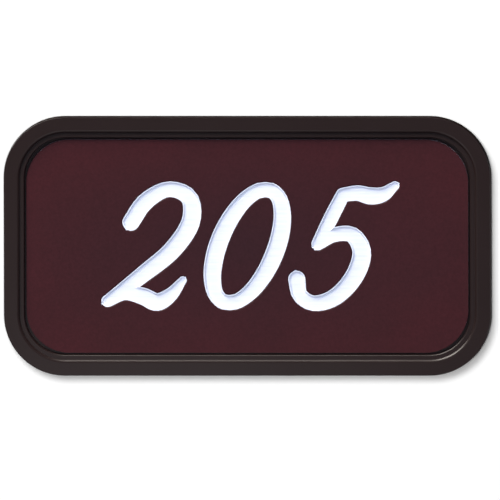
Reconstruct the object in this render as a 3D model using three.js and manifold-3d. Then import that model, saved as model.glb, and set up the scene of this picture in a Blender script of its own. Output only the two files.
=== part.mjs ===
// A framed wall sign. A moulded plastic tray with a stepped lip holds an engraved two-colour
// insert on strips of thin tape. Foam squares with peel-off paper liners hold it on the wall.
//
// Units are millimetres. The sign is built lying flat, its front towards +Z and the wall at
// z = 0, and is then stood up to face -Y. The origin is the middle of the face on the wall.

import * as THREE from 'three';
import * as BufferGeometryUtils from 'three/addons/utils/BufferGeometryUtils.js';
import Module from 'manifold-3d';

// Frame outline
const frameWidth = 216;
const frameHeight = 115;
const frameCornerRadius = 27.3;
const openingCornerRadius = 18.2;

// Frame section, as widths across the band from the outer edge to the opening
const draftRun = 0.25;
const edgeRadius = 0.25;
const faceBandWidth = 5.85;
const rollWidth = 1.2;
const stepWallWidth = 0.1;
const ledgeWidth = 1.85;
const lipChamfer = 0.35;

// Heights of the frame section's steps
const stepDepth = 1.25;
const rollDrop = 0.42;
const ledgeAboveInsert = 1.625;

// Frame walls
const outerWall = 2;
const recessWall = 2;
const ledgeWall = 1;
const floorThickness = 1.75;
const rimDrop = 0.75;

// Ribs behind the frame: short ones across the hollow band, shallow ones on the floor
const ribThickness = 1.25;
const bandRibPitch = 38;

// Insert, cut from sheet that has a thin coloured cap on a white core. Its corners are rounder
// than those of the opening.
const insertGap = 0.85;
const insertCornerRadius = 19;
const coreThickness = 1.25;
const capThickness = 0.25;
const insertTapeThickness = 0.25;
const insertTapeWidth = 12;
const insertTapeSideMargin = 18;
const insertTapeEndMargin = 10;

// Engraved numerals. Their pockets have a steep wall at the foot and a shallower shoulder above
// it, and the shoulder's upper part is cut in the cap.
const wallDepth = 0.4;
const wallRun = 0.15;
const shoulderDepth = 0.5;
const shoulderRun = 0.9;
const engravingSideMargin = 29.3;
const engravingEndMargin = 18;
const numeralGap = 4;
const numeralSlant = 0.325;
const strokeWidth = 8;

// Foam squares and their liners
const foamWidth = 25;
const foamHeight = 19;
const foamThickness = 1.5;
const foamCornerRadius = 1.5;
const foamSideMargin = 16;
const foamEndMargin = 8;
const linerThickness = 0.125;
const linerTab = 4;

// Chips of the cap smaller than this, in cubic millimetres, fall away as it is cut
const smallestPiece = 0.05;

// How finely curves are divided
const cornerSegments = 8;
const foamCornerSegments = 2;
const strokeSegments = 36;
const strokeEndSegments = 4;

// Where each layer starts, counted from the wall
const foamBackZ = linerThickness;
const floorBackZ = foamBackZ + foamThickness;
const floorFrontZ = floorBackZ + floorThickness;
const insertBackZ = floorFrontZ + insertTapeThickness;
const insertThickness = coreThickness + capThickness;
const ledgeZ = insertBackZ + insertThickness + ledgeAboveInsert;
const faceZ = ledgeZ + stepDepth;
const bandCeilingZ = ledgeZ - ledgeWall;
const rimZ = floorBackZ - rimDrop;

// Distances in from the frame's outer edge
const rollEnd = faceBandWidth + rollWidth;
const ledgeStart = rollEnd + stepWallWidth;
const ledgeEnd = ledgeStart + ledgeWidth;
const openingInset = ledgeEnd + lipChamfer;
const recessWallInset = openingInset - recessWall;
const insertInset = openingInset + insertGap;

// The middles of the corner foam squares, out from the middle of the back
const foamX = frameWidth / 2 - recessWallInset - foamSideMargin - foamWidth / 2;
const foamY = frameHeight / 2 - recessWallInset - foamEndMargin - foamHeight / 2;

const insertWidth = frameWidth - 2 * insertInset;
const insertHeight = frameHeight - 2 * insertInset;

const wasm = await Module();
wasm.setup();

const plastic = (color, roughness) => new THREE.MeshStandardMaterial({ color, roughness, metalness: 0 });
const frameColor = 0x302627;
const capColor = 0x422529;
const coreColor = 0xfbfbfd;
const tapeColor = 0xd9d6c8;
const foamColor = 0xe9e7e0;
const linerColor = 0xf3ead2;

// A closed mesh becomes a solid that can be joined and cut.
function toSolid(geometry) {
  const bare = geometry.index ? geometry.toNonIndexed() : geometry.clone();
  bare.deleteAttribute('normal');
  bare.deleteAttribute('uv');
  const merged = BufferGeometryUtils.mergeVertices(bare, 1e-5);
  return new wasm.Manifold(new wasm.Mesh({
    numProp: 3,
    vertProperties: merged.attributes.position.array,
    triVerts: Uint32Array.from(merged.index.array),
  }));
}

function toGeometry(solid) {
  const mesh = solid.getMesh();
  const geometry = new THREE.BufferGeometry();
  geometry.setAttribute('position', new THREE.BufferAttribute(mesh.vertProperties, 3));
  geometry.setIndex(new THREE.BufferAttribute(mesh.triVerts, 1));
  geometry.computeVertexNormals();
  return geometry;
}

// Corner arcs are drawn with twice as many segments as the number given for them.
function roundedRectangle(width, height, radius) {
  const x = width / 2 - radius;
  const y = height / 2 - radius;
  const shape = new THREE.Shape();
  shape.absarc(x, y, radius, 0, Math.PI / 2);
  shape.absarc(-x, y, radius, Math.PI / 2, Math.PI);
  shape.absarc(-x, -y, radius, Math.PI, 1.5 * Math.PI);
  shape.absarc(x, -y, radius, 1.5 * Math.PI, 2 * Math.PI);
  return shape;
}

function plate(width, height, radius, thickness, curveSegments) {
  const shape = roundedRectangle(width, height, radius);
  return new THREE.ExtrudeGeometry(shape, { depth: thickness, bevelEnabled: false, curveSegments });
}

// The corner radius shrinks steadily from the frame's outer edge to its opening.
function radiusAt(inset) {
  const shrink = (frameCornerRadius - openingCornerRadius) / openingInset;
  return frameCornerRadius - shrink * inset;
}

function ring(inset, z) {
  const shape = roundedRectangle(frameWidth - 2 * inset, frameHeight - 2 * inset, radiusAt(inset));
  const outline = shape.getPoints(cornerSegments);
  if (outline[0].distanceTo(outline[outline.length - 1]) < 1e-6) outline.pop();
  return outline.map((point) => new THREE.Vector3(point.x, point.y, z));
}

// Rings with the same number of points become one closed skin, with a lid on the first and last.
function skinOver(rings) {
  const count = rings[0].length;
  const positions = rings.flat().flatMap((point) => point.toArray());
  const faces = [];
  for (let row = 0; row < rings.length - 1; row++) {
    for (let i = 0; i < count; i++) {
      const a = row * count + i;
      const b = row * count + (i + 1) % count;
      faces.push(a, a + count, b, b, a + count, b + count);
    }
  }
  const last = (rings.length - 1) * count;
  for (let i = 1; i < count - 1; i++) {
    faces.push(0, i, i + 1);
    faces.push(last, last + i + 1, last + i);
  }
  const geometry = new THREE.BufferGeometry();
  geometry.setAttribute('position', new THREE.Float32BufferAttribute(positions, 3));
  geometry.setIndex(faces);
  return geometry;
}

// The tray's section, from the middle of its floor out over the face and back in behind. The
// outer wall leans in a little from its rim to the face, as a moulding's does.
function trayShell() {
  const edgeRings = [90, 60, 30, 0].map((degrees) => {
    const angle = THREE.MathUtils.degToRad(degrees);
    const inset = draftRun + edgeRadius * (1 - Math.cos(angle));
    return ring(inset, faceZ - edgeRadius * (1 - Math.sin(angle)));
  });
  return skinOver([
    ring(openingInset, floorFrontZ),
    ring(openingInset, ledgeZ - lipChamfer),
    ring(ledgeEnd, ledgeZ),
    ring(ledgeStart, ledgeZ),
    ring(rollEnd, faceZ - rollDrop),
    ring(faceBandWidth + rollWidth / 2, faceZ - rollDrop / 4),
    ring(faceBandWidth, faceZ),
    ...edgeRings,
    ring(0, rimZ),
    ring(outerWall, rimZ),
    ring(outerWall, bandCeilingZ),
    ring(recessWallInset, bandCeilingZ),
    ring(recessWallInset, floorBackZ),
  ]);
}

function block(width, height, depth, x, y, z) {
  const geometry = new THREE.BoxGeometry(width, height, depth);
  geometry.translate(x, y, z + depth / 2);
  return toSolid(geometry);
}

// Evenly spaced places along a side, with none in the rounded corners.
function ribPlaces(side) {
  const straight = side - 2 * frameCornerRadius;
  const gaps = Math.max(1, Math.round(straight / bandRibPitch));
  return Array.from({ length: gaps + 1 }, (_, i) => (i / gaps - 0.5) * straight);
}

// The floor ribs run midway between the middle foam square and the corner ones.
function ribs() {
  const bandMiddle = (outerWall + recessWallInset) / 2;
  const bandReach = recessWallInset - outerWall + recessWall / 2 + outerWall / 2;
  const bandRibHeight = bandCeilingZ + ledgeWall / 2 - floorBackZ;
  const floorReachX = frameWidth - 2 * (recessWallInset + recessWall / 2);
  const floorReachY = frameHeight - 2 * (recessWallInset + recessWall / 2);
  const floorRibHeight = rimDrop + floorThickness / 2;
  const blocks = [];
  for (const side of [-1, 1]) {
    for (const x of ribPlaces(frameWidth)) {
      const y = side * (frameHeight / 2 - bandMiddle);
      blocks.push(block(ribThickness, bandReach, bandRibHeight, x, y, floorBackZ));
    }
    for (const y of ribPlaces(frameHeight)) {
      const x = side * (frameWidth / 2 - bandMiddle);
      blocks.push(block(bandReach, ribThickness, bandRibHeight, x, y, floorBackZ));
    }
    blocks.push(block(ribThickness, floorReachY, floorRibHeight, side * foamX / 2, 0, rimZ));
    blocks.push(block(floorReachX, ribThickness, floorRibHeight, 0, side * foamY / 2, rimZ));
  }
  return blocks;
}

function frameGeometry() {
  let solid = toSolid(trayShell());
  for (const rib of ribs()) solid = solid.add(rib);
  return toGeometry(solid);
}

// Each numeral is a few brush strokes. A stroke is a row of points [across, up, weight]: across
// and up run from -0.5 to 0.5 over the numeral's upright box, and weight scales the stroke width.
// The nought is two strokes, each a little over half way round an oval, that lap at both ends.
function ovalStroke(startDegrees) {
  const turnDegrees = 210;
  const steps = 9;
  return Array.from({ length: steps + 1 }, (_, i) => {
    const angle = THREE.MathUtils.degToRad(startDegrees + turnDegrees * i / steps);
    return [0.46 * Math.cos(angle), 0.5 * Math.sin(angle), 0.92 + 0.1 * Math.cos(2 * angle)];
  });
}

const numerals = {
  two: [
    [[-0.5, 0.21, 0.95], [-0.38, 0.39, 0.95], [-0.08, 0.5, 0.86], [0.27, 0.43, 0.95], [0.42, 0.23, 1.03],
      [0.29, -0.02, 1.02], [-0.06, -0.25, 0.92], [-0.44, -0.47, 0.72]],
    [[-0.47, -0.48, 0.68], [-0.24, -0.41, 0.8], [0.06, -0.44, 0.95], [0.3, -0.49, 0.98], [0.47, -0.43, 0.8],
      [0.59, -0.3, 0.45]],
  ],
  nought: [ovalStroke(75), ovalStroke(255)],
  five: [
    [[-0.2, 0.45, 0.78], [0.02, 0.465, 0.86], [0.24, 0.44, 0.95], [0.42, 0.455, 0.82], [0.56, 0.53, 0.5]],
    [[-0.2, 0.45, 0.78], [-0.27, 0.24, 0.82], [-0.34, 0.02, 0.72]],
    [[-0.34, 0.02, 0.72], [-0.13, 0.1, 0.8], [0.14, 0.1, 0.9], [0.37, -0.04, 1.03], [0.39, -0.25, 1.03],
      [0.18, -0.45, 0.94], [-0.12, -0.5, 0.86], [-0.36, -0.43, 0.86], [-0.49, -0.29, 0.95]],
  ],
};
const engravedNumber = [numerals.two, numerals.nought, numerals.five];

const numeralHeight = insertHeight - 2 * engravingEndMargin;
const engravedSpan = insertWidth - 2 * engravingSideMargin;
const numeralLean = numeralSlant * numeralHeight;
const numeralPitch = (engravedSpan + numeralGap - numeralLean) / engravedNumber.length;
const numeralWidth = numeralPitch - numeralGap;

// The middle of a stroke. Its third value is half the stroke's width there.
function strokePath(points, centreX) {
  return new THREE.CatmullRomCurve3(points.map(([across, up, weight]) => {
    const y = up * (numeralHeight - strokeWidth);
    const x = centreX + across * (numeralWidth - strokeWidth) + numeralSlant * y;
    return new THREE.Vector3(x, y, weight * strokeWidth / 2);
  }), false, 'centripetal');
}

// The corners of the cutter's section: narrowest on the pocket's floor, as wide as the stroke
// where cap and core meet, and wider still above the insert. A turn swings the corners forwards,
// which rounds off a stroke's end.
function cutterSection(path, t, turn) {
  const { x, y, z: halfWidth } = path.getPointAt(t);
  const tangent = path.getTangentAt(t);
  const forwards = new THREE.Vector2(tangent.x, tangent.y).normalize();
  const sideways = new THREE.Vector2(-forwards.y, forwards.x);
  const shoulderSlope = shoulderRun / shoulderDepth;
  const shoulderReach = (height) => halfWidth + shoulderSlope * (height + capThickness);
  const levels = [
    [-shoulderDepth - wallDepth, shoulderReach(-shoulderDepth) - wallRun],
    [-shoulderDepth, shoulderReach(-shoulderDepth)],
    [shoulderDepth, shoulderReach(shoulderDepth)],
  ];
  const corners = (side) => levels.map(([height, reach]) => {
    const place = forwards.clone().multiplyScalar(reach * Math.sin(turn));
    place.addScaledVector(sideways, side * reach * Math.cos(turn));
    return new THREE.Vector3(x + place.x, y + place.y, insertThickness + height);
  });
  return [...corners(-1), ...corners(1).reverse()];
}

function strokeCutter(points, centreX) {
  const path = strokePath(points, centreX);
  const turns = Array.from({ length: strokeEndSegments }, (_, i) => {
    return (i + 1) * Math.PI / (2 * strokeEndSegments + 1);
  });
  const steps = Array.from({ length: strokeSegments + 1 }, (_, i) => i / strokeSegments);
  return toSolid(skinOver([
    ...turns.toReversed().map((turn) => cutterSection(path, 0, -turn)),
    ...steps.map((t) => cutterSection(path, t, 0)),
    ...turns.map((turn) => cutterSection(path, 1, turn)),
  ]));
}

function engravingCutter() {
  let cutter = null;
  engravedNumber.forEach((strokes, i) => {
    const centreX = (i - (engravedNumber.length - 1) / 2) * numeralPitch;
    for (const points of strokes) {
      const stroke = strokeCutter(points, centreX);
      cutter = cutter ? cutter.add(stroke) : stroke;
    }
  });
  return cutter;
}

// One layer of the insert after engraving. Where the cutter goes right through, the material that
// a numeral encloses comes loose from the rest, so a layer is a list of pieces, the largest first.
function insertLayer(thickness, backZ, cutter) {
  const sheet = plate(insertWidth, insertHeight, insertCornerRadius, thickness, cornerSegments);
  sheet.translate(0, 0, backZ);
  const pieces = toSolid(sheet).subtract(cutter).decompose();
  return pieces.filter((piece) => piece.volume() > smallestPiece)
    .sort((a, b) => b.volume() - a.volume())
    .map(toGeometry);
}

function linerGeometry(tabDirection) {
  const width = foamWidth + linerTab;
  const geometry = plate(width, foamHeight, foamCornerRadius, linerThickness, foamCornerSegments);
  geometry.translate(tabDirection * linerTab / 2, 0, 0);
  return geometry;
}

function addPiece(group, name, geometry, material, x = 0, y = 0, z = 0) {
  const mesh = new THREE.Mesh(geometry, material);
  mesh.name = name;
  mesh.position.set(x, y, z);
  group.add(mesh);
}

const sign = new THREE.Group();
addPiece(sign, 'frame', frameGeometry(), plastic(frameColor, 0.5));

const insert = new THREE.Group();
insert.position.z = insertBackZ;
sign.add(insert);
const cutter = engravingCutter();
insertLayer(coreThickness, 0, cutter).forEach((geometry) => {
  addPiece(insert, 'insert_core', geometry, plastic(coreColor, 0.55));
});
insertLayer(capThickness, coreThickness, cutter).forEach((geometry, i) => {
  const name = i === 0 ? 'insert_cap' : `insert_cap_island_${i}`;
  addPiece(insert, name, geometry, plastic(capColor, 0.45));
});

const insertTapeLength = insertWidth - 2 * insertTapeSideMargin;
const insertTapeY = insertHeight / 2 - insertTapeEndMargin - insertTapeWidth / 2;
for (const [name, side] of [['upper', 1], ['lower', -1]]) {
  const geometry = new THREE.BoxGeometry(insertTapeLength, insertTapeWidth, insertTapeThickness);
  const z = floorFrontZ + insertTapeThickness / 2;
  addPiece(sign, `insert_tape_${name}`, geometry, plastic(tapeColor, 0.6), 0, side * insertTapeY, z);
}

const foamPlaces = {
  centre: [0, 0],
  upper_left: [-foamX, foamY],
  upper_right: [foamX, foamY],
  lower_left: [-foamX, -foamY],
  lower_right: [foamX, -foamY],
};
for (const [name, [x, y]] of Object.entries(foamPlaces)) {
  const foam = plate(foamWidth, foamHeight, foamCornerRadius, foamThickness, foamCornerSegments);
  addPiece(sign, `wall_foam_${name}`, foam, plastic(foamColor, 0.95), x, y, foamBackZ);
  const liner = linerGeometry(x > 0 ? 1 : -1);
  addPiece(sign, `wall_liner_${name}`, liner, plastic(linerColor, 0.75), x, y, 0);
}

// Turning the flat sign up about X puts its front towards -Y and its top towards +Z.
sign.rotation.x = Math.PI / 2;
const wallSign = new THREE.Group();
wallSign.add(sign);

export default wallSign;
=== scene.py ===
import math

import bmesh
import bpy
from mathutils import Matrix, Vector


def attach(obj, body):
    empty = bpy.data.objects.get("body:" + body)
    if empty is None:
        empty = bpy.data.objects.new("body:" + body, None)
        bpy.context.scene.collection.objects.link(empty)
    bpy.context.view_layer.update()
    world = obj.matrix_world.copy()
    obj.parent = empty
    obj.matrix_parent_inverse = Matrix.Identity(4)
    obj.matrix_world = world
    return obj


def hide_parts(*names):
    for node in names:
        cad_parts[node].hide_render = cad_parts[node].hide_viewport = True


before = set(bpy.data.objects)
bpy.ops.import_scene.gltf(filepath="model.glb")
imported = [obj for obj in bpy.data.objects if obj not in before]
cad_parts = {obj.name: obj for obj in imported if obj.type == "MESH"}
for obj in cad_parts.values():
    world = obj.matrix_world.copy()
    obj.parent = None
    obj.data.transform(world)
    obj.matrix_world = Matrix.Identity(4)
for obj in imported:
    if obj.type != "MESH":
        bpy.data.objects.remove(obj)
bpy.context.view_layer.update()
scene = bpy.context.scene

mm = 0.001
rideOn = "root"

# Pieces are modelled in millimetres, lying on their backs, and then stood up to face -Y.
standUp = Matrix.Rotation(math.pi / 2, 4, "X") @ Matrix.Scale(mm, 4)


# Mesh helpers

def roundedFace(bm, width, height, radius, steps, z):
    known = set(bm.faces)
    verts = bmesh.ops.create_grid(bm, x_segments=1, y_segments=1, size=0.5)["verts"]
    bmesh.ops.scale(bm, vec=(width, height, 1), verts=verts)
    bmesh.ops.translate(bm, vec=(0, 0, z), verts=verts)
    bmesh.ops.bevel(bm, geom=verts, affect="VERTICES", offset=radius, segments=steps,
                    profile=0.5, material=-1)
    return next(face for face in bm.faces if face not in known)


def block(bm, size, middle):
    verts = bmesh.ops.create_cube(bm, size=1)["verts"]
    bmesh.ops.scale(bm, vec=size, verts=verts)
    bmesh.ops.translate(bm, vec=middle, verts=verts)
    return verts


def meshFrom(bm, name):
    bmesh.ops.recalc_face_normals(bm, faces=bm.faces)
    mesh = bpy.data.meshes.new(name)
    bm.to_mesh(mesh)
    bm.free()
    return mesh


def objectFrom(mesh, name):
    made = bpy.data.objects.new(name, mesh)
    scene.collection.objects.link(made)
    return made


def applyModifiers(piece):
    graph = bpy.context.evaluated_depsgraph_get()
    mesh = bpy.data.meshes.new_from_object(piece.evaluated_get(graph))
    piece.modifiers.clear()
    piece.data = mesh


# Faces that meet at less than the given angle, in degrees, are shaded as one curved surface.
def shadeSmooth(piece, degrees):
    for polygon in piece.data.polygons:
        polygon.use_smooth = True
    piece.data.set_sharp_from_angle(angle=math.radians(degrees))
    evenOut = piece.modifiers.new("even_shading", "WEIGHTED_NORMAL")
    evenOut.keep_sharp = True


def finishPiece(piece, material, slot, *nodes):
    piece.data.materials.clear()
    piece.data.materials.append(material)
    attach(piece, rideOn)
    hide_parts(*nodes)


# Material helpers

def linear(hexColour):
    channels = [int(hexColour[i:i + 2], 16) / 255 for i in (1, 3, 5)]
    return [*(c / 12.92 if c <= 0.04045 else ((c + 0.055) / 1.055) ** 2.4 for c in channels), 1]


# Adds a node. A setting is an input's value where the node has such an input, and otherwise
# one of its own properties. A link names an input and the output that feeds it.
def addNode(tree, kind, settings, links=None):
    node = tree.nodes.new(kind)
    for name, value in settings.items():
        if isinstance(name, int) or name in node.inputs:
            node.inputs[name].default_value = value
        else:
            setattr(node, name, value)
    for name, output in (links or {}).items():
        tree.links.new(output, node.inputs[name])
    return node


def startMaterial(name, settings):
    material = bpy.data.materials.new(name)
    material.use_nodes = True
    tree = material.node_tree
    tree.nodes.clear()
    shader = addNode(tree, "ShaderNodeBsdfPrincipled", settings)
    addNode(tree, "ShaderNodeOutputMaterial", {}, {"Surface": shader.outputs[0]})
    place = addNode(tree, "ShaderNodeTexCoord", {}).outputs["Object"]
    return material, tree, shader, place


# How many times a pattern repeats in a metre, from the size of one of its features.
def perMetre(sizeInMm):
    return 1 / (sizeInMm * mm)


# Frame moulding

mouldedFrame = {
    "width": 216,
    "height": 115,
    "outerCorner": 27.3,
    "openingCorner": 18.2,
    "openingInset": 9.35,
    "cornerSteps": 24,
    "edgeSteps": 4,
    # From the tray's floor over the lip and the face and in behind: how far in from the outer
    # edge, how high above the wall, and how much the edge is rounded
    "section": [
        (9.35, 3.375, 0.3),
        (9.35, 6.4, 0.15),
        (9.0, 6.75, 0.14),
        (7.12, 6.75, 0.12),
        (7.05, 7.58, 0.08),
        (6.35, 8.0, 0.5),
        (0.25, 8.0, 0.15),
        (0, 0.875, 0.15),
        (2, 0.875, 0.15),
        (2, 5.75, 0.4),
        (7.35, 5.75, 0.4),
        (7.35, 1.625, 0.3),
    ],
    "ribThickness": 1.25,
    "ribDraft": 0.8,
    "bandRibPitch": 38,
    "bandRibReach": (1, 8.35),
    "bandRibHeights": (1.625, 6.25),
    "floorRibPlaces": (36.075, 16.325),
    "floorRibInset": 8.35,
    "floorRibHeights": (0.875, 2.5),
    "sliverBelow": 0.005,
    "smoothBelow": 35,
}


def cornerRadius(shape, inset):
    shrink = (shape["outerCorner"] - shape["openingCorner"]) / shape["openingInset"]
    return shape["outerCorner"] - shrink * inset


# The outlines are bridged while they lie far apart, because bridging two at one height can
# mirror one of them, and are then moved to their own heights.
def trayMesh(shape):
    bm = bmesh.new()
    loops, outlines = [], []
    apart = 10
    last = len(shape["section"]) - 1
    for i, (inset, _, _) in enumerate(shape["section"]):
        face = roundedFace(bm, shape["width"] - 2 * inset, shape["height"] - 2 * inset,
                           cornerRadius(shape, inset), shape["cornerSteps"], apart * i)
        loops.append(list(face.edges))
        outlines.append(list(face.verts))
        if 0 < i < last:
            bmesh.ops.delete(bm, geom=[face], context="FACES_ONLY")
    for inner, outer in zip(loops, loops[1:]):
        bmesh.ops.bridge_loops(bm, edges=inner + outer)
    for i, (_, z, _) in enumerate(shape["section"]):
        bmesh.ops.translate(bm, vec=(0, 0, z - apart * i), verts=outlines[i])
    bmesh.ops.recalc_face_normals(bm, faces=bm.faces)
    for loop, (_, _, rounding) in zip(loops, shape["section"]):
        bmesh.ops.bevel(bm, geom=loop, affect="EDGES", offset=rounding,
                        segments=shape["edgeSteps"], profile=0.5, material=-1)
    return meshFrom(bm, "frame_tray")


def ribPlaces(side, shape):
    straight = side - 2 * shape["outerCorner"]
    gaps = max(1, round(straight / shape["bandRibPitch"]))
    return [(i / gaps - 0.5) * straight for i in range(gaps + 1)]


# A rib is a little thinner at its free edge, so that it leaves the mould.
def addRib(bm, length, alongX, x, y, heights, shape):
    low, high = heights
    thickness = shape["ribThickness"]
    size = (length, thickness, high - low) if alongX else (thickness, length, high - low)
    verts = block(bm, size, (x, y, (low + high) / 2))
    freeEdge = [v for v in verts if v.co.z < (low + high) / 2]
    draft = shape["ribDraft"]
    taper = (1, draft, 1) if alongX else (draft, 1, 1)
    bmesh.ops.scale(bm, vec=taper, space=Matrix.Translation((-x, -y, 0)), verts=freeEdge)


def ribMesh(shape):
    bm = bmesh.new()
    near, far = shape["bandRibReach"]
    halfWidth, halfHeight = shape["width"] / 2, shape["height"] / 2
    for side in (-1, 1):
        for x in ribPlaces(shape["width"], shape):
            y = side * (halfHeight - (near + far) / 2)
            addRib(bm, far - near, False, x, y, shape["bandRibHeights"], shape)
        for y in ribPlaces(shape["height"], shape):
            x = side * (halfWidth - (near + far) / 2)
            addRib(bm, far - near, True, x, y, shape["bandRibHeights"], shape)
    return meshFrom(bm, "frame_band_ribs")


def floorRibMesh(shape, alongX):
    bm = bmesh.new()
    acrossX, acrossY = shape["floorRibPlaces"]
    length = (shape["width"] if alongX else shape["height"]) - 2 * shape["floorRibInset"]
    for side in (-1, 1):
        x, y = (0, side * acrossY) if alongX else (side * acrossX, 0)
        addRib(bm, length, alongX, x, y, shape["floorRibHeights"], shape)
    return meshFrom(bm, "frame_floor_ribs")


def joinOn(piece, mesh):
    tool = objectFrom(mesh, "joined_on")
    union = piece.modifiers.new("join", "BOOLEAN")
    union.operation = "UNION"
    union.solver = "EXACT"
    union.object = tool
    applyModifiers(piece)
    bpy.data.objects.remove(tool)


# Where a rib just grazes a rounded edge, the join leaves edges far too short to see.
def dropSlivers(piece, shape):
    bm = bmesh.new()
    bm.from_mesh(piece.data)
    bmesh.ops.dissolve_degenerate(bm, dist=shape["sliverBelow"], edges=bm.edges)
    bm.to_mesh(piece.data)
    bm.free()


# Moulded ABS, as it comes from a polished and lightly grained mould. It is a dark brown that is
# nearly black, with an even satin shine and soft highlights on its rounded edges.
def satinMouldedAbs():
    material, tree, shader, place = startMaterial("satin_moulded_ABS", {
        "Roughness": 0.3, "IOR": 1.53, "Specular IOR Level": 0.5})
    # Streaks of pigment some 30 mm across, hardly lighter than the rest
    flow = addNode(tree, "ShaderNodeTexNoise", {"Scale": perMetre(30), "Detail": 3.0},
                   {"Vector": place})
    colour = addNode(tree, "ShaderNodeMix", {
        "data_type": "RGBA", 6: linear("#231817"), 7: linear("#271c1b")},
        {0: flow.outputs["Fac"]})
    # Mould grain of 0.1 mm would be lost at this size, so it is drawn 0.5 mm across
    grain = addNode(tree, "ShaderNodeTexNoise", {"Scale": perMetre(0.5), "Detail": 2.0},
                    {"Vector": place})
    bump = addNode(tree, "ShaderNodeBump", {"Strength": 0.5, "Distance": 0.008 * mm},
                   {"Height": grain.outputs["Fac"]})
    tree.links.new(colour.outputs[2], shader.inputs["Base Color"])
    tree.links.new(bump.outputs["Normal"], shader.inputs["Normal"])
    return material


framePiece = objectFrom(trayMesh(mouldedFrame), "frame_moulding")
joinOn(framePiece, ribMesh(mouldedFrame))
joinOn(framePiece, floorRibMesh(mouldedFrame, True))
joinOn(framePiece, floorRibMesh(mouldedFrame, False))
dropSlivers(framePiece, mouldedFrame)
framePiece.data.transform(standUp)
shadeSmooth(framePiece, mouldedFrame["smoothBelow"])
finishPiece(framePiece, satinMouldedAbs(), "frame_plastic", "frame")
print("frame made", len(framePiece.data.polygons), "faces")


# Insert

engravedInsert = {
    "capNodes": ("insert_cap", "insert_cap_island_1"),
    "coreNode": "insert_core",
    # Points this near each other, in mm, are merged, and edges this flat, in degrees, dissolved
    "mergeWithin": 0.001,
    "flatWithin": 0.2,
    "smoothBelow": 15,
    # Depths in the white, as the part's solids have them and as the worn cutter leaves them
    "pocketDepths": ((0.25, 0.1), (0.65, 0.5)),
    "footRun": 0.4,
    "footDepth": 0.35,
    # How squarely a floor faces forward, and how far a depth may be from its exact value
    "squareOn": 0.999,
    "leeway": 0.01,
}


# A CAD node's triangles are merged in a copy, so that they shade as one surface.
def mergedCopy(node, name, shape):
    bm = bmesh.new()
    bm.from_mesh(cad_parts[node].data)
    bmesh.ops.remove_doubles(bm, verts=bm.verts, dist=shape["mergeWithin"] * mm)
    bmesh.ops.dissolve_limit(bm, angle_limit=math.radians(shape["flatWithin"]),
                             verts=bm.verts, edges=bm.edges)
    mesh = bpy.data.meshes.new(name)
    bm.to_mesh(mesh)
    bm.free()
    customNormals = mesh.attributes.get("custom_normal")
    if customNormals:
        mesh.attributes.remove(customNormals)
    return objectFrom(mesh, name)


# A worn cutter leaves the numerals' white shoulders shallower than a sharp one would, and a
# slope round their floors, under the steep walls.
def wearThePockets(piece, shape):
    bm = bmesh.new()
    bm.from_mesh(piece.data)
    facing = [face for face in bm.faces if face.normal.y < -shape["squareOn"]]
    front = min(face.calc_center_median().y for face in facing)
    (shoulder, wornShoulder), (floor, wornFloor) = shape["pocketDepths"]
    for vert in bm.verts:
        depth = (vert.co.y - front) / mm
        if 0 < depth <= shoulder:
            vert.co.y = front + depth * wornShoulder / shoulder * mm
        elif shoulder < depth < floor + shape["leeway"]:
            share = (depth - shoulder) / (floor - shoulder)
            vert.co.y = front + (wornShoulder + share * (wornFloor - wornShoulder)) * mm
    deep = front + wornShoulder * mm
    floors = [face for face in facing if face.calc_center_median().y > deep]
    bmesh.ops.inset_region(bm, faces=floors, thickness=shape["footRun"] * mm,
                           depth=-shape["footDepth"] * mm, use_boundary=True,
                           use_even_offset=True)
    bm.to_mesh(piece.data)
    bm.free()


# The cap of the engraving sheet is a matt burgundy acrylic film. It has a soft shine, and its
# colour clouds a little over a few centimetres, as a thin film over white does. Its colour is a
# little duller and less red in the middle.
def mattAcrylicCap():
    material, tree, shader, place = startMaterial("matt_acrylic_cap", {
        "Roughness": 0.5, "IOR": 1.49, "Specular IOR Level": 0.25})
    clouds = addNode(tree, "ShaderNodeTexNoise", {
        "Scale": perMetre(40), "Detail": 4.0, "Roughness": 0.6}, {"Vector": place})
    clouded = addNode(tree, "ShaderNodeMix", {
        "data_type": "RGBA", 6: linear("#331418"), 7: linear("#43151b")},
        {0: clouds.outputs["Fac"]})
    # The duller, less red middle fades out 110 mm to each side and 50 mm up and down
    darkerMiddlePlace = addNode(tree, "ShaderNodeMapping", {
        "Scale": (perMetre(110), perMetre(110), perMetre(50))}, {"Vector": place})
    darkerMiddle = addNode(tree, "ShaderNodeTexGradient", {"gradient_type": "SPHERICAL"},
                    {"Vector": darkerMiddlePlace.outputs[0]})
    colour = addNode(tree, "ShaderNodeMix", {"data_type": "RGBA", 7: linear("#31161c")},
                     {0: darkerMiddle.outputs["Fac"], 6: clouded.outputs[2]})
    # Its pigment is mottled over about a millimetre
    mottling = addNode(tree, "ShaderNodeTexNoise", {"Scale": perMetre(1.2), "Detail": 3.0},
                       {"Vector": place})
    mottled = addNode(tree, "ShaderNodeMix", {
        "data_type": "RGBA", "blend_type": "OVERLAY", 0: 0.3},
        {6: colour.outputs[2], 7: mottling.outputs["Fac"]})
    # The film's matt finish is about 0.05 mm, and is drawn at 0.45 mm
    texture = addNode(tree, "ShaderNodeTexNoise", {"Scale": perMetre(0.45), "Detail": 2.0},
                      {"Vector": place})
    bump = addNode(tree, "ShaderNodeBump", {"Strength": 0.5, "Distance": 0.013 * mm},
                   {"Height": texture.outputs["Fac"]})
    tree.links.new(mottled.outputs[2], shader.inputs["Base Color"])
    tree.links.new(bump.outputs["Normal"], shader.inputs["Normal"])
    return material


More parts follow.
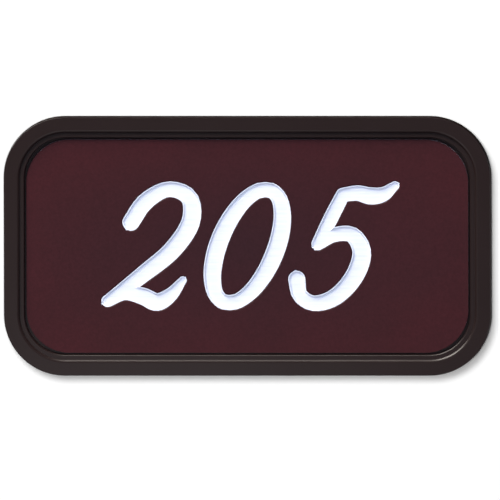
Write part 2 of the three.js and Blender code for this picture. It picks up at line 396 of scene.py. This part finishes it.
# The core is white ABS as the engraving cutter left it: chalky, with fine tool lines that run
# across the sign.
def cutWhiteCore():
    material, tree, shader, place = startMaterial("cut_white_ABS", {
        "Roughness": 0.6, "IOR": 1.53, "Specular IOR Level": 0.35})
    # Tool lines 0.9 mm apart and tens of millimetres long
    stretched = addNode(tree, "ShaderNodeMapping", {
        "Scale": (perMetre(40), perMetre(0.9), perMetre(0.9))}, {"Vector": place})
    lines = addNode(tree, "ShaderNodeTexNoise", {"Scale": 1.0, "Detail": 2.0},
                    {"Vector": stretched.outputs[0]})
    colour = addNode(tree, "ShaderNodeMix", {
        "data_type": "RGBA", 6: linear("#dde4f8"), 7: linear("#f7faff")},
        {0: lines.outputs["Fac"]})
    bump = addNode(tree, "ShaderNodeBump", {"Strength": 0.5, "Distance": 0.02 * mm},
                   {"Height": lines.outputs["Fac"]})
    tree.links.new(colour.outputs[2], shader.inputs["Base Color"])
    tree.links.new(bump.outputs["Normal"], shader.inputs["Normal"])
    return material


capMaterial = mattAcrylicCap()
for node in engravedInsert["capNodes"]:
    capPiece = mergedCopy(node, node.replace("insert_cap", "insert_face"), engravedInsert)
    shadeSmooth(capPiece, engravedInsert["smoothBelow"])
    finishPiece(capPiece, capMaterial, "insert_cap_burgundy", node)
corePiece = mergedCopy(engravedInsert["coreNode"], "insert_white", engravedInsert)
wearThePockets(corePiece, engravedInsert)
shadeSmooth(corePiece, engravedInsert["smoothBelow"])
finishPiece(corePiece, cutWhiteCore(), "insert_core_white", engravedInsert["coreNode"])
print("insert made")


# Tape under the insert

insertTape = {
    "nodes": ("insert_tape_upper", "insert_tape_lower"),
}


# Tissue tape with acrylic adhesive on both sides. It is a milky film with a fibrous tissue
# inside, and tacky enough to shine a little.
def tissueTape():
    material, tree, shader, place = startMaterial("acrylic_tissue_tape", {
        "Roughness": 0.45, "IOR": 1.47, "Specular IOR Level": 0.5})
    fibres = addNode(tree, "ShaderNodeTexNoise", {
        "Scale": perMetre(1.5), "Detail": 6.0, "Roughness": 0.7}, {"Vector": place})
    colour = addNode(tree, "ShaderNodeMix", {
        "data_type": "RGBA", 6: linear("#cfcbbb"), 7: linear("#e2dfd2")},
        {0: fibres.outputs["Fac"]})
    bump = addNode(tree, "ShaderNodeBump", {"Strength": 0.4, "Distance": 0.02 * mm},
                   {"Height": fibres.outputs["Fac"]})
    tree.links.new(colour.outputs[2], shader.inputs["Base Color"])
    tree.links.new(bump.outputs["Normal"], shader.inputs["Normal"])
    return material


tapeMaterial = tissueTape()
for node in insertTape["nodes"]:
    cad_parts[node].data.materials.clear()
    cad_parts[node].data.materials.append(tapeMaterial)
print("tape dressed")


# Foam squares

foamSquare = {
    "width": 25,
    "height": 19,
    "thickness": 1.5,
    "back": 0.125,
    "corner": 1.5,
    "cornerSteps": 6,
    "layers": 6,
    "waist": 0.12,
    "fill": 1.0,
    "smoothBelow": 40,
    "places": {
        "centre": (0, 0),
        "upper_left": (-72.15, 32.65),
        "upper_right": (72.15, 32.65),
        "lower_left": (-72.15, -32.65),
        "lower_right": (72.15, -32.65),
    },
}


# The blade that cuts the foam squashes it, so its sides draw in half way up.
def foamMesh(shape, x, y):
    bm = bmesh.new()
    face = roundedFace(bm, shape["width"], shape["height"], shape["corner"],
                       shape["cornerSteps"], shape["back"])
    layers = shape["layers"]
    before = 1
    for i in range(1, layers + 1):
        grown = bmesh.ops.extrude_face_region(bm, geom=[face])["geom"]
        if i > 1:
            bmesh.ops.delete(bm, geom=[face], context="FACES_ONLY")
        face = next(e for e in grown if isinstance(e, bmesh.types.BMFace))
        drawnIn = 2 * shape["waist"] * math.sin(math.pi * i / layers)
        after = 1 - drawnIn / shape["width"]
        bmesh.ops.translate(bm, vec=(0, 0, shape["thickness"] / layers), verts=face.verts)
        bmesh.ops.scale(bm, vec=(after / before, after / before, 1), verts=face.verts)
        before = after
    bmesh.ops.translate(bm, vec=(x, y, 0), verts=bm.verts)
    return meshFrom(bm, "foam_square")


# Closed-cell polyethylene foam, sliced into tape. It is off-white and soft looking, with cells
# about 0.4 mm across that show on its cut sides.
def closedCellFoam():
    material, tree, shader, place = startMaterial("closed_cell_PE_foam", {
        "Roughness": 0.85, "IOR": 1.5, "Specular IOR Level": 0.25})
    cells = addNode(tree, "ShaderNodeTexVoronoi", {"Scale": perMetre(0.4)}, {"Vector": place})
    dirt = addNode(tree, "ShaderNodeTexNoise", {"Scale": perMetre(6), "Detail": 4.0},
                   {"Vector": place})
    colour = addNode(tree, "ShaderNodeMix", {
        "data_type": "RGBA", 6: linear("#dcdad1"), 7: linear("#efede6")},
        {0: dirt.outputs["Fac"]})
    bump = addNode(tree, "ShaderNodeBump", {"Strength": 0.8, "Distance": 0.08 * mm},
                   {"Height": cells.outputs["Distance"]})
    tree.links.new(colour.outputs[2], shader.inputs["Base Color"])
    tree.links.new(bump.outputs["Normal"], shader.inputs["Normal"])
    return material


# Liners

paperLiner = {
    "width": 29,
    "height": 19,
    "thickness": 0.12,
    "corner": 1.5,
    "cornerSteps": 6,
    "tab": 4,
    "tabSteps": 8,
    "curl": 0.45,
    "cutWithin": 0.0001,
    "smoothBelow": 40,
}


# The tab that stands out past the foam curls away from the wall.
def linerMesh(shape, x, y, tabSide):
    bm = bmesh.new()
    roundedFace(bm, shape["width"], shape["height"], shape["corner"], shape["cornerSteps"], 0)
    bmesh.ops.translate(bm, vec=(tabSide * shape["tab"] / 2, 0, 0), verts=bm.verts)
    tabStart = shape["width"] / 2 - shape["tab"] / 2
    for i in range(shape["tabSteps"]):
        cut = tabSide * (tabStart + shape["tab"] * i / shape["tabSteps"])
        bmesh.ops.bisect_plane(bm, geom=[*bm.verts, *bm.edges, *bm.faces],
                               dist=shape["cutWithin"], plane_co=(cut, 0, 0),
                               plane_no=(1, 0, 0))
    for vert in bm.verts:
        past = max(0, tabSide * vert.co.x - tabStart) / shape["tab"]
        vert.co.z += shape["curl"] * past ** 2
    paper = bmesh.ops.extrude_face_region(bm, geom=bm.faces[:])["geom"]
    bmesh.ops.translate(bm, vec=(0, 0, shape["thickness"]),
                        verts=[v for v in paper if isinstance(v, bmesh.types.BMVert)])
    bmesh.ops.translate(bm, vec=(x, y, 0), verts=bm.verts)
    return meshFrom(bm, "paper_liner")


# Glassine release paper with a silicone coat. It is a smooth cream paper, a little glossy, with
# a faint cloud of fibres.
def releasePaper():
    material, tree, shader, place = startMaterial("silicone_release_paper", {
        "Roughness": 0.4, "IOR": 1.45, "Specular IOR Level": 0.5})
    fibres = addNode(tree, "ShaderNodeTexNoise", {
        "Scale": perMetre(2.5), "Detail": 8.0, "Roughness": 0.75}, {"Vector": place})
    colour = addNode(tree, "ShaderNodeMix", {
        "data_type": "RGBA", 6: linear("#e8dcbd"), 7: linear("#f6edd8")},
        {0: fibres.outputs["Fac"]})
    bump = addNode(tree, "ShaderNodeBump", {"Strength": 0.3, "Distance": 0.01 * mm},
                   {"Height": fibres.outputs["Fac"]})
    tree.links.new(colour.outputs[2], shader.inputs["Base Color"])
    tree.links.new(bump.outputs["Normal"], shader.inputs["Normal"])
    return material


foamMaterial = closedCellFoam()
paperMaterial = releasePaper()
for name, (x, y) in foamSquare["places"].items():
    foam = objectFrom(foamMesh(foamSquare, x, y), f"foam_square_{name}")
    foam.data.transform(standUp)
    shadeSmooth(foam, foamSquare["smoothBelow"])
    finishPiece(foam, foamMaterial, "foam_tape", f"wall_foam_{name}")
    tabSide = 1 if x > 0 else -1
    liner = objectFrom(linerMesh(paperLiner, x, y, tabSide), f"paper_liner_{name}")
    liner.data.transform(standUp)
    shadeSmooth(liner, paperLiner["smoothBelow"])
    finishPiece(liner, paperMaterial, "liner_paper", f"wall_liner_{name}")
print("foam and liners made")


# Studio

studio = {
    "wallSize": 3.0,
    "wallBehind": 0.2,
    "wallColour": "#fcfcfc",
    "floorSize": 40.0,
    "floorBelow": 0.32,
    "floorColour": "#e6e5e2",
    "floorLight": 3.4,
    "floorLightSpread": 100,
    "skyColour": "#e9ebee",
    "skySeen": 0.9,
    "skyLight": 0.01,
}


def stagePlane(name, size, matrix, material):
    bm = bmesh.new()
    bmesh.ops.create_grid(bm, x_segments=1, y_segments=1, size=size / 2, matrix=matrix)
    mesh = bpy.data.meshes.new(name)
    bm.to_mesh(mesh)
    bm.free()
    plane = objectFrom(mesh, name)
    plane.data.materials.append(material)
    return plane


# Painted plaster, plain and pale. The wall shows only from its front, so that the back of the
# sign can be looked at.
wallMaterial, wallTree, wallShader, _ = startMaterial("painted_wall", {
    "Base Color": linear(studio["wallColour"]), "Roughness": 0.9, "Specular IOR Level": 0.0})
fromBehind = addNode(wallTree, "ShaderNodeNewGeometry", {}).outputs["Backfacing"]
clear = addNode(wallTree, "ShaderNodeBsdfTransparent", {})
oneSided = addNode(wallTree, "ShaderNodeMixShader", {}, {
    0: fromBehind, 1: wallShader.outputs[0], 2: clear.outputs[0]})
wallTree.links.new(oneSided.outputs[0], wallTree.nodes["Material Output"].inputs["Surface"])
wallPlace = (Matrix.Translation((0, studio["wallBehind"] * mm, 0))
             @ Matrix.Rotation(math.pi / 2, 4, "X"))
wall = stagePlane("wall", studio["wallSize"], wallPlace, wallMaterial)
wall.visible_shadow = False

floorMaterial = startMaterial("painted_floor", {
    "Base Color": linear(studio["floorColour"]), "Roughness": 0.8, "Specular IOR Level": 0.2})[0]
floorPlace = Matrix.Translation((0, 0, -studio["floorBelow"]))
floor = stagePlane("floor", studio["floorSize"], floorPlace, floorMaterial)
for plane in (wall, floor):
    plane.visible_diffuse = False
    plane.visible_glossy = False

world = bpy.data.worlds.new("studio")
scene.world = world
world.use_nodes = True
worldTree = world.node_tree
worldTree.nodes.clear()
dim = addNode(worldTree, "ShaderNodeBackground", {
    "Color": linear(studio["skyColour"]), "Strength": studio["skyLight"]})
seen = addNode(worldTree, "ShaderNodeBackground", {
    "Color": linear(studio["skyColour"]), "Strength": studio["skySeen"]})
toCamera = addNode(worldTree, "ShaderNodeLightPath", {}).outputs["Is Camera Ray"]
sky = addNode(worldTree, "ShaderNodeMixShader", {}, {
    0: toCamera, 1: dim.outputs[0], 2: seen.outputs[0]})
addNode(worldTree, "ShaderNodeOutputWorld", {}, {"Surface": sky.outputs[0]})

# Lights for the wall alone, which photographs as clear white with a short soft shadow, and lights
# for the sign. Each one: where it comes from, how far off, its size, its power, its colour,
# whether it shines, which is whether a glossy surface mirrors it, and what it reaches
softLights = {
    "wall_key": {"from": (-0.195, -1, 0.33), "distance": 2.0, "size": 0.88, "power": 28.5,
                 "colour": "#ffffff", "shines": False, "reaches": "wall"},
    "wall_fill": {"from": (0, -1, 0), "distance": 2.0, "size": 0.3, "power": 17.6,
                  "colour": "#ffffff", "shines": False, "reaches": "wall"},
    "key": {"from": (-0.46, -0.46, 0.76), "distance": 2.4, "size": 1.6, "power": 78,
            "colour": "#fff9f0", "shines": True, "reaches": "sign"},
    "low": {"from": (-0.1, -0.93, -0.3), "distance": 0.6, "size": 0.2, "power": 0.11,
            "colour": "#ffffff", "shines": True, "reaches": "sign"},
    "above": {"from": (-0.1, -0.35, 0.93), "distance": 2.4, "size": 1.3, "power": 13,
              "colour": "#fff9f0", "shines": True, "reaches": "sign"},
    "fill": {"from": (0, -1, 0.05), "distance": 2.0, "size": 3.6, "power": 55,
             "colour": "#dfe8ff", "shines": False, "reaches": "sign"},
    "behind": {"from": (0, 1, 0.15), "distance": 1.6, "size": 1.2, "power": 12,
               "colour": "#ffffff", "shines": False, "reaches": "sign"},
    "behind_right": {"from": (0.88, 0.5, -0.15), "distance": 1.6, "size": 1.2, "power": 9,
                     "colour": "#ffffff", "shines": True, "reaches": "sign"},
    "behind_left": {"from": (-0.77, 0.56, 0.31), "distance": 1.6, "size": 1.2, "power": 12,
                    "colour": "#ffffff", "shines": True, "reaches": "sign"},
}


# A light reaches only what is in its collection, or all but that.
def stageCollection(name, linkState, *planes):
    collection = bpy.data.collections.new(name)
    for i, plane in enumerate(planes):
        collection.objects.link(plane)
        collection.collection_objects[i].light_linking.link_state = linkState
    return collection


reached = {
    "wall": stageCollection("only_the_wall", "INCLUDE", wall),
    "floor": stageCollection("only_the_floor", "INCLUDE", floor),
    "sign": stageCollection("all_but_the_stage", "EXCLUDE", wall, floor),
}
for name, light in softLights.items():
    lamp = bpy.data.lights.new(f"{name}_light", "AREA")
    lamp.shape = "DISK"
    lamp.size = light["size"]
    lamp.energy = light["power"]
    lamp.color = linear(light["colour"])[:3]
    lampObject = bpy.data.objects.new(f"{name}_light", lamp)
    scene.collection.objects.link(lampObject)
    direction = Vector(light["from"]).normalized()
    lampObject.location = direction * light["distance"]
    lampObject.rotation_euler = direction.to_track_quat("Z", "Y").to_euler()
    lampObject.visible_camera = False
    lampObject.visible_glossy = light["shines"]
    lampObject.light_linking.receiver_collection = reached[light["reaches"]]

# The floor is lit evenly from above, right out to where the low views see it. The spread is in
# degrees.
overhead = bpy.data.lights.new("floor_light", "SUN")
overhead.energy = studio["floorLight"]
overhead.angle = math.radians(studio["floorLightSpread"])
overheadObject = bpy.data.objects.new("floor_light", overhead)
scene.collection.objects.link(overheadObject)
overheadObject.light_linking.receiver_collection = reached["floor"]

# The camera has no perspective and holds the sign level. It stands a little above and to the
# right of straight on, which is seen from how the lip and the insert are set in the outline. The
# frame's width and middle are in pixels of the photograph, and the angles are in degrees.
photo = {
    "side": 500,
    "frameWidth": 488.05,
    "frameMiddle": (247.65, 245.8),
    "azimuth": 2,
    "elevation": 4,
    "distance": 1.0,
}
azimuth, elevation = math.radians(photo["azimuth"]), math.radians(photo["elevation"])
back = Vector((math.sin(azimuth) * math.cos(elevation), -math.cos(azimuth) * math.cos(elevation),
               math.sin(elevation)))
right = (Vector((1, 0, 0)) - back.x * back).normalized()
up = back.cross(right)
across = [vert.co.dot(right) for vert in framePiece.data.vertices]
upward = [vert.co.dot(up) for vert in framePiece.data.vertices]
metresPerPixel = (max(across) - min(across)) / photo["frameWidth"]
aimAcross = (max(across) + min(across)) / 2
aimAcross += (photo["side"] / 2 - photo["frameMiddle"][0]) * metresPerPixel
aimUp = (max(upward) + min(upward)) / 2
aimUp += (photo["frameMiddle"][1] - photo["side"] / 2) * metresPerPixel
camera = bpy.data.objects.new("camera", bpy.data.cameras.new("camera"))
scene.collection.objects.link(camera)
camera.data.type = "ORTHO"
camera.data.ortho_scale = photo["side"] * metresPerPixel
camera.matrix_world = Matrix.LocRotScale(
    aimAcross * right + aimUp * up + photo["distance"] * back,
    Matrix((right, up, back)).transposed(), None)
scene.camera = camera
scene.view_settings.view_transform = "Standard"
print("studio ready")
